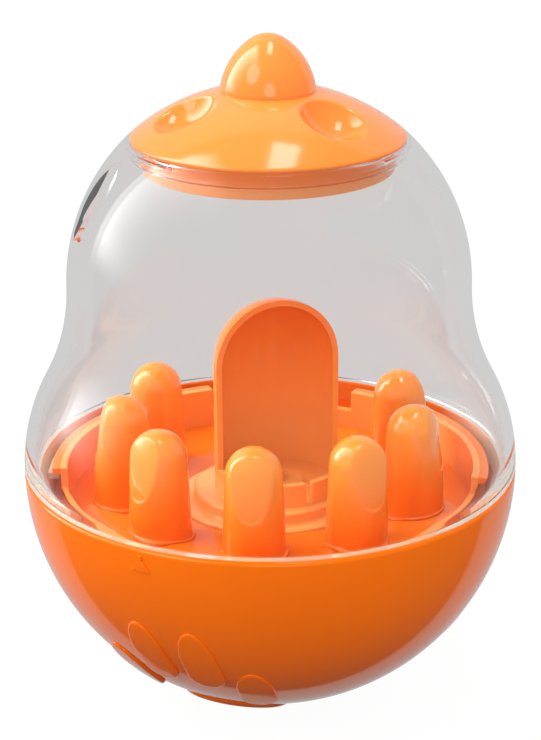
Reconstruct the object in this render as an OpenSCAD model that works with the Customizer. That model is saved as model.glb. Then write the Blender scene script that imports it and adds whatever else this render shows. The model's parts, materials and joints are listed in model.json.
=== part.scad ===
// Tumbling treat ball: a weighted bowl, a clear dome that twists onto it and a lid that twists into the dome.
// Inside, a tray carries rounded posts round a turning hood-shaped scoop.
// Millimetres, +Z up, standing on the flat under the bowl, front towards -Y.

/* [Bowl] */
// Outer diameter of the bowl and of the dome's foot
ball_d = 105; // [98:1:116]
// Diameter of the flat that the bowl stands on
stand_d = 20; // [14:1:26]
// Wall of the bowl
bowl_wall = 2.4; // [1.8:0.1:3]
// Thickness of the bowl's floor under the counterweight
bowl_floor = 4.5; // [4:0.25:6]
// Width of the ledge that carries the tray
ledge_w = 3; // [2:0.25:4]
// Thickness of the ledge
ledge_t = 3; // [2:0.25:4]
// How far the feet stand out of the bowl
foot_relief = 0.9; // [0.8:0.1:2]
// Width of a toe
toe_w = 8; // [7:0.5:9]
// Length of a toe
toe_l = 20; // [16:0.5:22]
// Angle between neighbouring toes, in degrees
toe_spread = 14; // [13:0.5:16]
// Angle of the two middle toes below the rim, in degrees
mid_toe_drop = 29.5; // [26:0.5:33]
// Angle of the two outer toes below the rim, in degrees
side_toe_drop = 42; // [36:0.5:44]
// Diameter of the pad under a foot
pad_d = 23; // [18:0.5:25]
// Angle of the pad below the rim, in degrees
pad_drop = 70; // [68:0.5:73]
// Direction of the left foot, in degrees from the front
foot_left_turn = -25; // [-45:1:-15]
// Direction of the right foot, in degrees from the front
foot_right_turn = 96; // [80:1:120]
// Height of the lock mark's triangle
mark_h = 3.1; // [2:0.1:3.6]
// Depth of the triangle's foot below the rim
mark_drop = 4.7; // [4:0.1:5]
// How far the lock mark stands out of the bowl
mark_relief = 0.4; // [0.2:0.1:0.6]
// Direction of the lock mark, in degrees from the front
mark_turn = -29; // [-60:1:60]

/* [Dome] */
// Wall of the dome
dome_wall = 2.2; // [1.6:0.1:2.6]
// Diameter of the round head
head_d = 84.2; // [80:0.2:88]
// Height of the head's centre above the bowl's rim
head_z = 39.8; // [37:0.2:43]
// Radius of the flared body's arc
flare_r = 39.2; // [36:0.2:42]
// Radius of the hollow waist
waist_r = 45; // [35:1:60]
// Length of the ring that enters the bowl
spigot_l = 4; // [3.5:0.1:5]
// Wall of that ring
spigot_wall = 1.6; // [1.4:0.1:2.4]
// Thickness of the dome's foot flange
dome_foot_t = 1.6; // [1.4:0.1:3]
// Depth of the neck that holds the lid
neck_l = 3.4; // [3:0.1:7]
// Wall of the neck
neck_wall = 2.2; // [1.6:0.1:2.6]
// Width of the treat outlet in the head
outlet_w = 8; // [6:0.5:10]
// Length of the treat outlet
outlet_l = 16; // [12:0.5:17]
// Height of the outlet's centre above the head's centre
outlet_rise = 19; // [16:0.2:19.4]
// Distance of the outlet's centre in front of the axis
outlet_front = 7.3; // [4:0.1:9]

/* [Lid] */
// Diameter of the lid
lid_d = 56.4; // [54:0.2:58]
// Width of the dome's edge that shows round the lid
lid_step = 0.9; // [0.4:0.1:1.2]
// Height of the lid's crown above its edge
crown_h = 10.2; // [9:0.1:11]
// Height of the lid's edge
lid_edge = 0.7; // [0.6:0.1:1.4]
// Wall of the lid
lid_wall = 2.2; // [1.8:0.1:2.6]
// Length of the skirt inside the neck
skirt_l = 6.2; // [6:0.1:8]
// Diameter of a dimple's mouth
dimple_d = 14.6; // [11:0.2:15]
// Depth of a dimple
dimple_h = 4.2; // [2.5:0.1:4.4]
// Distance of the dimples from the axis
dimple_ring_r = 18; // [17.5:0.1:19.5]
// Half the angle between the two dimples
dimple_turn = 57; // [45:1:65]
// Direction that the lid faces, in degrees from the front
lid_turn = -11; // [-15:1:5]
// Diameter of the knob's foot
knob_d = 19.8; // [18:0.2:21]
// Height of the knob
knob_h = 11.6; // [10:0.2:14]
// Radius of the knob's round tip
knob_tip_r = 6.4; // [5:0.1:7]
// Depth of the boss that takes the knob's screw
knob_boss_h = 3.6; // [3:0.1:4]

/* [Locks] */
// Turn that frees the lid and the dome, in degrees
lock_turn = 30; // [24:1:34]
// Reach of the dome's foot lugs
foot_lug = 2.6; // [2:0.1:3]
// Reach of the tray's hooks over those lugs
hook_reach = 1.8; // [1.4:0.1:2]
// Thickness of hooks and foot lugs
lug_t = 1.6; // [1.2:0.1:1.8]
// Reach of the lugs inside the neck
neck_lug = 1.7; // [1.2:0.1:2]
// Height of the lugs inside the neck
neck_lug_t = 1.4; // [1:0.1:1.8]
// Direction of the first lug inside the neck, in degrees from the front
neck_lug_at = 127; // [115:1:140]
// Width of every lug, in degrees
lug_turn = 12; // [8:1:14]

/* [Tray] */
// Depth of the tray's floor below the rim
tray_drop = 9; // [8.6:0.1:10]
// Thickness of the tray's floor
tray_t = 2.2; // [1.8:0.1:2.6]
// Height of the tray's low wall
low_wall_h = 4.4; // [3.6:0.1:4.6]
// Thickness of the low wall and of its tabs
tab_wall = 1.6; // [1.2:0.1:2]
// Where the right tab starts, in degrees from the front
tab_right_from = 75; // [60:1:90]
// Where the right tab ends, in degrees from the front
tab_right_to = 154; // [145:1:155]
// Where the left tab starts, in degrees from the front
tab_left_from = -162; // [-165:1:-155]
// Where the left tab ends, in degrees from the front
tab_left_to = -83; // [-95:1:-70]
// Depth of the sunk seat for the hub
well_h = 3; // [2.6:0.1:3.6]
// Floor of that seat
well_floor = 3.6; // [3.2:0.1:4.4]

/* [Posts] */
// Angle between neighbouring posts, in degrees
post_step = 40; // [37:0.5:42]
// Distance of the ring of posts from the tray's wall
post_inset = 12; // [10.5:0.1:13]
// Height of a post above the tray
post_h = 24.2; // [20:0.2:26]
// Diameter of a post at its foot
post_d = 13.2; // [11:0.2:13.6]
// Height of the flange at a post's foot
post_foot_h = 0.7; // [0.5:0.1:1]
// Width of that flange
post_foot_w = 0.5; // [0.3:0.1:0.8]
// Radius of a post's round top
post_tip_r = 5.8; // [4.6:0.1:6.2]
// Direction of the first post, in degrees from the front
post_turn = -126; // [-140:1:-110]
// Part of a post's height that its flat covers, from the top
nail_share = 0.58; // [0.4:0.02:0.7]
// Depth of the flat beside the middle of the round top
nail_cut = 1.4; // [0.8:0.1:2]
// Diameter of the stem that plugs into the tray
stem_d = 7; // [5:0.2:8]

/* [Scoop] */
// Outer diameter of the scoop's hood
scoop_d = 27.6; // [25:0.2:28]
// Wall of the scoop
scoop_wall = 1.3; // [1:0.1:2]
// Height of the scoop's top above the tray
scoop_h = 44.2; // [38:0.2:48]
// Height of the collar at the scoop's foot above the tray
scoop_collar_h = 7.8; // [6:0.2:9]
// Direction that the scoop's mouth faces, in degrees from the front
scoop_turn = 20; // [-20:1:30]
// Distance of the scoop's middle from the axis, across its mouth
scoop_aside = 1.9; // [0:0.1:2]
// Diameter of the hub
hub_d = 40.2; // [38:0.2:42]
// Diameter of the hub's raised step
hub_step_d = 33; // [31:0.2:35]
// Height of the hub's edge above the tray
hub_edge = 0.4; // [0.2:0.1:0.8]
// Height of the hub's step above the tray
hub_step = 2.8; // [2.2:0.1:3.4]
// Depth of the groove that holds the scoop
scoop_seat = 1.9; // [1.4:0.1:2.4]
// Width of the slot in the scoop's collar
slot_w = 1.6; // [1:0.1:2.5]
// Direction of that slot beside the mouth's middle, in degrees
slot_turn = 8; // [4:1:30]
// Diameter of the pivot that the hub turns on
pivot_d = 8; // [7:0.2:9]

/* [Weight] */
// Height of the counterweight
weight_h = 9; // [6:0.5:12]
// Radius of the ring of bosses that carry the tray
boss_ring_r = 12.4; // [11:0.1:12.6]
// Diameter of a boss
boss_d = 7; // [6:0.2:7.4]

/* [Screws] */
// Diameter of the screws
screw_d = 3; // [2.6:0.1:3.2]
// Diameter of a screw head
screw_head_d = 5.6; // [5:0.1:6]
// Height of a screw head
screw_head_h = 1.8; // [1.4:0.1:2]
// Grip of the screws in the bowl's floor
weight_bite = 3; // [2:0.25:3.2]
// Grip of the screws in the bosses
boss_bite = 9; // [6:0.5:12]
// Length of the hub screw below its washer
hub_bite = 7.6; // [5:0.2:8]
// Grip of the screw in the knob
knob_bite = 6.5; // [4:0.25:7.5]
// Diameter of the hub washer
washer_d = 14; // [12:0.2:18]
// Thickness of the hub washer
washer_t = 0.8; // [0.6:0.1:1.2]

/* [Fits] */
// Gap between faces that turn past each other
run_gap = 0.35; // [0.3:0.05:0.5]
// Gap between flat faces that slide on each other
slip_gap = 0.15; // [0.1:0.05:0.2]
// Radial gap of a shaft in its bore
shaft_gap = 0.06; // [0.03:0.01:0.1]
// Gap round pieces that are pushed or screwed together
push_gap = 0.1; // [0.05:0.05:0.15]

/* [Hidden] */
$fn = 96;
eps = 0.01;
// Bowl
ball_r = ball_d/2;
bowl_in = ball_r - bowl_wall;
rim_z = sqrt(pow(ball_r, 2) - pow(stand_d/2, 2));
floor_z = bowl_floor - rim_z;
rim_ease = bowl_wall/3;
mark_w = 1.4*mark_h;
mark_stub = 0.3*mark_h;
// Radius of a sphere's section at a height from its centre
function ring_at(r, z) = sqrt(pow(r, 2) - pow(z, 2));
// Dome
head_r = head_d/2;
flare_c = ball_r - flare_r;
dome_z = slip_gap;
dome_edge_r = dome_foot_t/2;
lid_r = lid_d/2;
dome_top = head_z + ring_at(head_r, lid_r + lid_step);
// Centre of the waist's arc, which touches the flare's and the head's arcs from outside
span = norm([flare_c, head_z]);
flare_reach = flare_r + waist_r;
head_reach = head_r + waist_r;
along = (pow(flare_reach, 2) - pow(head_reach, 2) + pow(span, 2))/(2*span);
across = sqrt(pow(flare_reach, 2) - pow(along, 2));
waist_c = [flare_c - along*flare_c/span + across*head_z/span, along*head_z/span + across*flare_c/span];
// Foot of the dome in the bowl, from outside to inside
spigot_r = ring_at(bowl_in, spigot_l) - run_gap;
spigot_in = spigot_r - spigot_wall;
foot_lug_in = spigot_in - foot_lug;
tab_r = foot_lug_in - run_gap;
tab_in = tab_r - tab_wall;
hook_r = tab_r + hook_reach;
foot_lug_top = -lug_t - run_gap;
lug_inset = 0.75*lug_turn;
foot_lug_turns = [tab_right_to - lug_inset, tab_left_to - lug_inset];
// Neck and lid
neck_r = lid_r - neck_wall;
skirt_r = neck_r - run_gap;
skirt_in = skirt_r - lid_wall;
lid_z = dome_top + slip_gap;
crown_z = lid_z + lid_edge;
crown_r = (pow(lid_r, 2) + pow(crown_h, 2))/(2*crown_h);
crown_c = crown_z + crown_h - crown_r;
neck_lug_top = dome_top - neck_l/2 + neck_lug_t/2;
slot_low = neck_lug_top - neck_lug_t - run_gap;
slot_high = neck_lug_top + run_gap;
slot_half = lug_turn/2 + 1;
neck_lug_turns = [for (i = [0:1]) neck_lug_at + i*180];
knob_r = knob_d/2;
knob_seat_r = knob_r + push_gap;
knob_z = crown_c + ring_at(crown_r, knob_seat_r);
// Knob: a flank arc that is upright a little below the foot, and touches the round tip from outside
flank_drop = 0.16*knob_r;
tip_z = knob_h - knob_tip_r;
flank_r = (pow(tip_z + flank_drop, 2) + pow(knob_r, 2) - pow(knob_tip_r, 2))/(2*(knob_r - knob_tip_r));
tip_edge_z = tip_z + knob_tip_r*(tip_z + flank_drop)/(flank_r - knob_tip_r);
// Tray
tray_z = -tray_drop;
tray_under = tray_z - tray_t;
tray_r = ring_at(bowl_in, tray_under) - run_gap;
ledge_in = ring_at(bowl_in, tray_under) - ledge_w;
well_r = hub_d/2 + run_gap;
well_z = tray_z - well_h;
well_under = well_z - well_floor;
low_wall_z = tray_z + low_wall_h;
// Hub and scoop
hub_z = well_z + slip_gap;
hub_edge_z = tray_z + hub_edge;
hub_step_z = tray_z + hub_step;
scoop_r = scoop_d/2;
scoop_in = scoop_r - scoop_wall;
scoop_foot_z = hub_step_z - scoop_seat;
scoop_top_z = tray_z + scoop_h;
hood_z = scoop_top_z - scoop_r;
slot_z = hub_step_z + scoop_wall/4;
scoop_collar_z = tray_z + scoop_collar_h;
pivot_r = pivot_d/2;
pivot_z = hub_step_z + slip_gap;
washer_z = pivot_z + washer_t;
// Posts
post_ring_r = tab_in - post_inset;
stem_r = stem_d/2;
post_turns = [for (i = [0:6]) post_turn + i*post_step];
post_foot_r = post_d/2 + post_foot_w;
tip_c = post_h - post_tip_r;
post_lean = atan((post_d/2 - post_tip_r)/tip_c);
barb_t = 0.55*tray_t;
barb_w = stem_d/7;
// Counterweight
weight_z = floor_z;
weight_r0 = ring_at(bowl_in, floor_z) - run_gap;
weight_r1 = ring_at(bowl_in, floor_z + weight_h) - run_gap;
weight_screw_r = boss_ring_r;
screw_r = screw_d/2;
head_hole_r = screw_head_d/2 + 2*push_gap;
pilot_r = screw_r + push_gap/2;
tip_gap = screw_d/6;
tray_head_z = well_z - screw_head_h - push_gap;
boss_turns = [for (i = [0:2]) 60 + i*120];
weight_turns = [for (i = [0:2]) i*120];

// Places its children at a direction from the front, looking out along +X
module facing(turn) {
    rotate([0, 0, turn - 90])
        children();
}

// Moves its children from the rim's height to the standing frame
module at_rim() {
    translate([0, 0, rim_z])
        children();
}

module disc(r, z0, z1) {
    translate([0, 0, z0])
        cylinder(r = r, h = z1 - z0);
}

module ring(r0, r1, z0, z1) {
    difference() {
        disc(r1, z0, z1);
        disc(r0, z0 - 1, z1 + 1);
    }
}

// Sector of a ring between two directions
module arc_block(r0, r1, z0, z1, turn0, turn1) {
    facing(turn0)
        rotate_extrude(angle = turn1 - turn0)
            translate([r0, z0])
                square([r1 - r0, z1 - z0]);
}

// Round-headed screw: the head sits on z, the shank runs down from it
module screw(z, bite) {
    disc(screw_head_d/2, z, z + screw_head_h);
    disc(screw_r, z - bite, z + eps);
}

// Outline of a toe, X pointing down the bowl
module toe_outline() {
    for (x = [-0.5, 0.5])
        translate([x*(toe_l - toe_w), 0])
            circle(toe_w/2);
    square([toe_l - toe_w, toe_w], center = true);
}

// Straight bar that leaves the ball's centre at a direction and an angle below the rim
module outward(turn, drop) {
    facing(turn)
        rotate([0, 90 + drop, 0])
            linear_extrude(ball_d)
                children();
}

// Foot: four toes and a round pad below them, raised on the bowl and level where it stands
module foot(turn) {
    intersection() {
        facing(180)
            sphere(ball_r + foot_relief, $fn = 192);
        union() {
            for (side = [-0.5, 0.5]) {
                outward(turn + side*toe_spread, mid_toe_drop)
                    toe_outline();
                outward(turn + 3*side*toe_spread, side_toe_drop)
                    toe_outline();
            }
            outward(turn, pad_drop)
                circle(d = pad_d);
        }
        translate([-ball_d, -ball_d, -rim_z])
            cube([2*ball_d, 2*ball_d, ball_d]);
    }
}

// Small raised triangle under the rim with a stub above it
module lock_mark() {
    intersection() {
        sphere(ball_r + mark_relief);
        facing(mark_turn)
            rotate([90, 0, 90])
                linear_extrude(ball_d) {
                    translate([0, -mark_drop])
                        polygon([[-mark_w/2, 0], [mark_w/2, 0], [0, mark_h]]);
                    translate([-mark_stub/2, mark_h - mark_stub - mark_drop])
                        square([mark_stub, 2*mark_stub]);
                }
    }
}

// Half section of the ball below the rim, with the rim's edges eased
module ball_section() {
    difference() {
        circle(ball_r, $fn = 192);
        translate([-ball_d, -ball_d])
            square([ball_d, 2*ball_d]);
        translate([-1, 0])
            square([ball_d, ball_d]);
        translate([-1, -ball_d - rim_z])
            square([ball_d, ball_d]);
        polygon([[ball_r - rim_ease, 1], [ball_r - rim_ease, 0], [ball_r, -rim_ease],
                 [ball_d, -rim_ease], [ball_d, 1]]);
    }
}

// Half section of the hollow, open at the rim, with the ledge left standing
module hollow_section() {
    difference() {
        circle(bowl_in, $fn = 192);
        translate([-ball_d, -ball_d])
            square([ball_d, 2*ball_d]);
        translate([-1, -ball_d + floor_z])
            square([ball_d, ball_d]);
        translate([ledge_in, tray_under - ledge_t])
            square([ledge_w + bowl_wall, ledge_t]);
    }
}

module bowl() {
    color("darkorange")
        at_rim()
            difference() {
                union() {
                    facing(180)
                        rotate_extrude($fn = 192)
                            ball_section();
                    foot(foot_left_turn);
                    foot(foot_right_turn);
                    lock_mark();
                }
                difference() {
                    facing(180)
                        rotate_extrude($fn = 192)
                            hollow_section();
                    for (t = boss_turns)
                        facing(t)
                            translate([boss_ring_r, 0, 0])
                                disc(boss_d/2, floor_z - 1, well_under);
                }
                for (t = boss_turns)
                    facing(t)
                        translate([boss_ring_r, 0, 0])
                            disc(pilot_r, well_under - boss_bite, well_under + 1);
                for (t = weight_turns)
                    facing(t)
                        translate([weight_screw_r, 0, 0])
                            disc(pilot_r, floor_z - weight_bite, floor_z + 1);
            }
}

module counterweight() {
    color("dimgray")
        at_rim()
            difference() {
                translate([0, 0, weight_z])
                    cylinder(r1 = weight_r0, r2 = weight_r1, h = weight_h);
                for (t = boss_turns)
                    facing(t)
                        translate([boss_ring_r, 0, 0])
                            disc(boss_d/2 + run_gap, weight_z - 1, weight_z + weight_h + 1);
                for (t = weight_turns)
                    facing(t)
                        translate([weight_screw_r, 0, 0]) {
                            disc(screw_r + push_gap, weight_z - 1, weight_z + weight_h + 1);
                            disc(head_hole_r, weight_z + weight_h - screw_head_h, weight_z + weight_h + 1);
                        }
            }
}

module weight_screws() {
    color("silver")
        at_rim()
            for (t = weight_turns)
                facing(t)
                    translate([weight_screw_r, 0, 0])
                        screw(weight_z + weight_h - screw_head_h, weight_h - screw_head_h + weight_bite);
}

// Half section of the tray: pivot, sunk seat, floor, low wall and hooked tab
module tray_section() {
    polygon([[0, well_under], [well_r + tray_t, well_under], [well_r + tray_t, tray_under],
             [tray_r, tray_under], [tray_r, tray_z], [tab_r, tray_z], [tab_r, -lug_t], [hook_r, -lug_t],
             [hook_r, 0], [tab_in, 0], [tab_in, tray_z], [well_r, tray_z], [well_r, well_z],
             [pivot_r, well_z], [pivot_r, pivot_z], [0, pivot_z]]);
}

module tray() {
    color("orange")
        at_rim()
            difference() {
                rotate_extrude($fn = 192)
                    tray_section();
                // Gaps between the tabs, down to the low wall
                for (gap = [[tab_left_to, tab_right_from], [tab_right_to, tab_left_from + 360]])
                    arc_block(tab_in - 1, hook_r + 1, low_wall_z, 1, gap[0], gap[1]);
                disc(pilot_r, washer_z - hub_bite - tip_gap, 1);
                for (t = boss_turns)
                    facing(t)
                        translate([boss_ring_r, 0, 0]) {
                            disc(screw_r + push_gap, well_under - 1, well_z + 1);
                            disc(head_hole_r, tray_head_z, well_z + 1);
                        }
                for (t = post_turns)
                    facing(t)
                        translate([post_ring_r, 0, 0])
                            disc(stem_r + push_gap, tray_under - 1, tray_z + 1);
            }
}

module tray_screws() {
    color("silver")
        at_rim()
            for (t = boss_turns)
                facing(t)
                    translate([boss_ring_r, 0, 0])
                        screw(tray_head_z, tray_head_z - well_under + boss_bite - tip_gap);
}

// One post on the tray, its flat towards +X, with a stem and a barb under the floor
module post_shape() {
    difference() {
        union() {
            disc(post_foot_r, 0, post_foot_h);
            translate([0, 0, post_foot_h/2])
                cylinder(r1 = post_d/2, r2 = post_tip_r*cos(post_lean),
                         h = tip_c + post_tip_r*sin(post_lean) - post_foot_h/2);
            translate([0, 0, tip_c])
                sphere(post_tip_r);
        }
        nail_foot = post_h*(1 - nail_share);
        foot_x = post_d/2 - (post_d/2 - post_tip_r)*nail_foot/tip_c;
        lean = atan((foot_x - post_tip_r + nail_cut)/(tip_c - nail_foot));
        translate([foot_x, 0, nail_foot])
            rotate([0, -lean, 0])
                translate([0, -post_d, -post_d])
                    cube([post_d, 2*post_d, 2*post_h]);
    }
    disc(stem_r, -tray_t - push_gap - barb_t, eps);
    disc(stem_r + barb_w, -tray_t - push_gap - barb_t, -tray_t - push_gap);
}

module post(i) {
    color("orange")
        at_rim()
            facing(post_turns[i - 1])
                translate([post_ring_r, 0, tray_z])
                    post_shape();
}

module hub() {
    color("darkorange")
        at_rim()
            difference() {
                union() {
                    disc(hub_d/2, hub_z, hub_edge_z);
                    disc(hub_step_d/2, hub_z, hub_step_z);
                }
                disc(pivot_r + shaft_gap, hub_z - 1, hub_step_z + 1);
                at_scoop()
                    ring(scoop_in - push_gap, scoop_r + push_gap, scoop_foot_z, hub_step_z + 1);
            }
}

// Places its children at the scoop's middle, its mouth towards -Y
module at_scoop() {
    rotate([0, 0, scoop_turn])
        translate([scoop_aside, 0, 0])
            children();
}

// Half section of a tube with a round top
module hood_section(r, low) {
    difference() {
        union() {
            translate([0, hood_z])
                circle(r);
            translate([-r, low])
                square([2*r, hood_z - low]);
        }
        translate([-scoop_d, low - 1])
            square([scoop_d, 2*scoop_h]);
    }
}

module scoop() {
    color("darkorange")
        at_rim()
            at_scoop()
                difference() {
                    facing(0)
                        rotate_extrude()
                            difference() {
                                hood_section(scoop_r, scoop_foot_z);
                                hood_section(scoop_in, scoop_foot_z - 1);
                            }
                    // Mouth above the collar
                    translate([-scoop_d, -scoop_d, scoop_collar_z])
                        cube([2*scoop_d, scoop_d, scoop_h]);
                    // Slot in the collar
                    facing(slot_turn)
                        translate([0, -slot_w/2, slot_z])
                            cube([scoop_d, slot_w, scoop_h]);
                }
}

module hub_washer() {
    color("darkorange")
        at_rim()
            ring(screw_r + push_gap, washer_d/2, pivot_z, washer_z);
}

module hub_screw() {
    color("silver")
        at_rim()
            screw(washer_z, hub_bite);
}

// Filled half section of the dome, drawn in from its outer face
module dome_section(inset) {
    difference() {
        union() {
            translate([flare_c, 0])
                circle(flare_r - inset, $fn = 192);
            translate([0, head_z])
                circle(head_r - inset, $fn = 192);
            polygon([[0, 0], [flare_c, 0], waist_c, [0, head_z]]);
        }
        translate(waist_c)
            circle(waist_r + inset, $fn = 192);
        translate([-ball_d, -ball_d])
            square([ball_d, 3*ball_d]);
    }
}

module dome() {
    color("gainsboro", 0.4)
        at_rim() {
            difference() {
                union() {
                    rotate_extrude($fn = 192)
                        difference() {
                            dome_section(0);
                            dome_section(dome_wall);
                            translate([-1, -ball_d])
                                square([2*ball_d, ball_d + dome_z + dome_edge_r]);
                            translate([-1, dome_top])
                                square([2*ball_d, ball_d]);
                        }
                    // Foot with a rounded outer edge, and the ring that enters the bowl
                    rotate_extrude($fn = 192) {
                        translate([spigot_in, dome_z])
                            square([ball_r - dome_edge_r - spigot_in, dome_foot_t]);
                        translate([ball_r - dome_edge_r, dome_z + dome_edge_r])
                            circle(dome_edge_r);
                    }
                    ring(spigot_in, spigot_r, -spigot_l, dome_z + eps);
                    // Neck
                    intersection() {
                        disc(neck_r + neck_wall, dome_top - neck_l, dome_top);
                        translate([0, 0, head_z])
                            sphere(head_r - dome_wall/2, $fn = 192);
                    }
                }
                disc(neck_r, dome_top - neck_l - 1, dome_top + 1);
                // Almond-shaped treat outlet, cut level from the left
                translate([-neck_r - neck_wall, -outlet_front, head_z + outlet_rise])
                    rotate([0, -90, 0])
                        linear_extrude(head_r)
                            outlet_outline();
            }
            for (t = foot_lug_turns)
                arc_block(foot_lug_in, spigot_in + spigot_wall/2, foot_lug_top - lug_t, foot_lug_top,
                          t - lug_turn/2, t + lug_turn/2);
            for (t = neck_lug_turns)
                arc_block(neck_r - neck_lug, neck_r + neck_wall/2, neck_lug_top - neck_lug_t, neck_lug_top,
                          t - lug_turn/2, t + lug_turn/2);
        }
}

// Two equal arcs meeting in points, X along the length
module outlet_outline() {
    arc_r = (pow(outlet_l, 2) + pow(outlet_w, 2))/(4*outlet_w);
    intersection() {
        translate([0, arc_r - outlet_w/2])
            circle(arc_r);
        translate([0, outlet_w/2 - arc_r])
            circle(arc_r);
    }
}

module lid() {
    color("orange")
        at_rim()
            difference() {
                union() {
                    // Crown and edge
                    difference() {
                        intersection() {
                            translate([0, 0, crown_c])
                                sphere(crown_r, $fn = 192);
                            disc(lid_r, lid_z, crown_z + crown_h);
                        }
                        translate([0, 0, crown_c])
                            sphere(crown_r - lid_wall, $fn = 192);
                        disc(skirt_in, lid_z - 1, crown_z);
                    }
                    ring(skirt_in, skirt_r, lid_z - skirt_l, crown_z);
                    ring(skirt_in, lid_r, lid_z, crown_z);
                    // Cups under the dimples and the boss under the knob
                    intersection() {
                        translate([0, 0, crown_c])
                            sphere(crown_r - lid_wall/2, $fn = 192);
                        union() {
                            at_dimples()
                                sphere(dimple_r() + lid_wall);
                            disc(screw_head_d/2 + lid_wall, knob_z - knob_boss_h, knob_z);
                        }
                        disc(skirt_in + eps, lid_z - skirt_l, crown_z + crown_h);
                    }
                }
                at_dimples()
                    sphere(dimple_r());
                disc(knob_seat_r, knob_z, crown_z + 2*crown_h);
                disc(screw_r + push_gap, lid_z, knob_z + 1);
                // Slots that pass over the neck's lugs and then run sideways
                for (t = neck_lug_turns) {
                    arc_block(skirt_in - 1, skirt_r + 1, slot_low, slot_high,
                              t - lock_turn - slot_half, t + slot_half);
                    arc_block(skirt_in - 1, skirt_r + 1, lid_z - skirt_l - 1, slot_high,
                              t - lock_turn - slot_half, t - lock_turn + slot_half);
                }
            }
}

// Radius of the ball that leaves a dimple of the given mouth and depth
function dimple_r() = (pow(dimple_d/2, 2) + pow(dimple_h, 2))/(2*dimple_h);

// Places its children at the centres of the two dimples' balls
module at_dimples() {
    lean = asin(dimple_ring_r/crown_r);
    for (side = [-1, 1])
        facing(lid_turn + side*dimple_turn)
            translate([0, 0, crown_c])
                rotate([0, lean, 0])
                    translate([0, 0, crown_r - dimple_h + dimple_r()])
                        children();
}

// Half section of the knob above its foot
module knob_section() {
    intersection() {
        square([knob_d, tip_edge_z]);
        translate([knob_r - flank_r, -flank_drop])
            circle(flank_r, $fn = 192);
    }
    intersection() {
        translate([0, tip_z])
            circle(knob_tip_r);
        square([knob_d, knob_h + 1]);
    }
}

module knob() {
    color("darkorange")
        at_rim()
            difference() {
                translate([0, 0, knob_z])
                    rotate_extrude()
                        knob_section();
                disc(pilot_r, knob_z - 1, knob_z + knob_bite + tip_gap);
            }
}

module knob_screw() {
    color("silver")
        at_rim()
            translate([0, 0, knob_z - knob_boss_h])
                mirror([0, 0, 1])
                    screw(0, knob_boss_h + knob_bite);
}

bowl();
counterweight();
weight_screws();
tray();
tray_screws();
post(1);  // post_1
post(2);  // post_2
post(3);  // post_3
post(4);  // post_4
post(5);  // post_5
post(6);  // post_6
post(7);  // post_7
hub();
scoop();
hub_washer();
hub_screw();
dome();
lid();
knob();
knob_screw();
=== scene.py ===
import json
import math
import bmesh
import bpy
import numpy as np
from mathutils import Matrix, Vector

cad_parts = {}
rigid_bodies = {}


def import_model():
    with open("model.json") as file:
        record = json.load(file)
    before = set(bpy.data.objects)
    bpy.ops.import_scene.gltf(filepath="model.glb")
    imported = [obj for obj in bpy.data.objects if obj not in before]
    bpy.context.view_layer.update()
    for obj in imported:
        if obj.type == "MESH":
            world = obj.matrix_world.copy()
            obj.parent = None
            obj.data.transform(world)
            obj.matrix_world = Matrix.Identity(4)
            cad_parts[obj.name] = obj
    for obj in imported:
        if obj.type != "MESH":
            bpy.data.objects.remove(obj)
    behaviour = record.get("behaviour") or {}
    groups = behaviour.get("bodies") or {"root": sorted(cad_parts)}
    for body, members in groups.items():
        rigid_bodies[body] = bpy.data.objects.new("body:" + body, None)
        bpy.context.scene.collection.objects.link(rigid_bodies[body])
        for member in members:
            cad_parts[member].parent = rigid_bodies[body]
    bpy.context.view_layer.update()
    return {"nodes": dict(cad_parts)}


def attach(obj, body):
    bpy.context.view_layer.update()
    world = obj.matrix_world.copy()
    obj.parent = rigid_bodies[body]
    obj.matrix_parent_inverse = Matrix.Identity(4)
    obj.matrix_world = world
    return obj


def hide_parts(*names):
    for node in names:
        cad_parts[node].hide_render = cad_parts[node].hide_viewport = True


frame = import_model()
cad = frame["nodes"]
rimLift = 51.5388  # the shapes below are in mm from the middle of the bowl's rim; this lifts them onto the floor
mm = 0.001  # metres in a millimetre
print("frame loaded,", len(cad), "CAD nodes")


def paint(red, green, blue):
    # 0 to 255 display values to the linear values that the shader sockets take
    c = np.array([red, green, blue]) / 255.0
    lin = np.where(c <= 0.04045, c / 12.92, ((c + 0.055) / 1.055) ** 2.4)
    return (*[float(v) for v in lin], 1.0)


def unit(v):
    return v / np.linalg.norm(v)


def ringQuads(rows, cols):
    # quads of a grid of rows x cols points, whose columns run round and close
    r, c = np.meshgrid(np.arange(rows - 1), np.arange(cols), indexing="ij")
    a = r * cols + c
    b = r * cols + (c + 1) % cols
    return np.stack([a, b, b + cols, a + cols], -1).reshape(-1, 4)


def spinRound(profile, steps, closed):
    # surface of revolution: x = r sin(turn), y = -r cos(turn), z = z, for every profile point and every turn
    profile = np.asarray(profile, float)
    if closed:
        profile = np.vstack([profile, profile[:1]])
    turn = np.linspace(0, 2 * np.pi, steps, endpoint=False)
    r, z = profile[:, :1], profile[:, 1:]
    pts = np.stack([r * np.sin(turn), -r * np.cos(turn), z + 0 * turn], -1)
    return pts.reshape(-1, 3), ringQuads(len(profile), steps)


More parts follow.
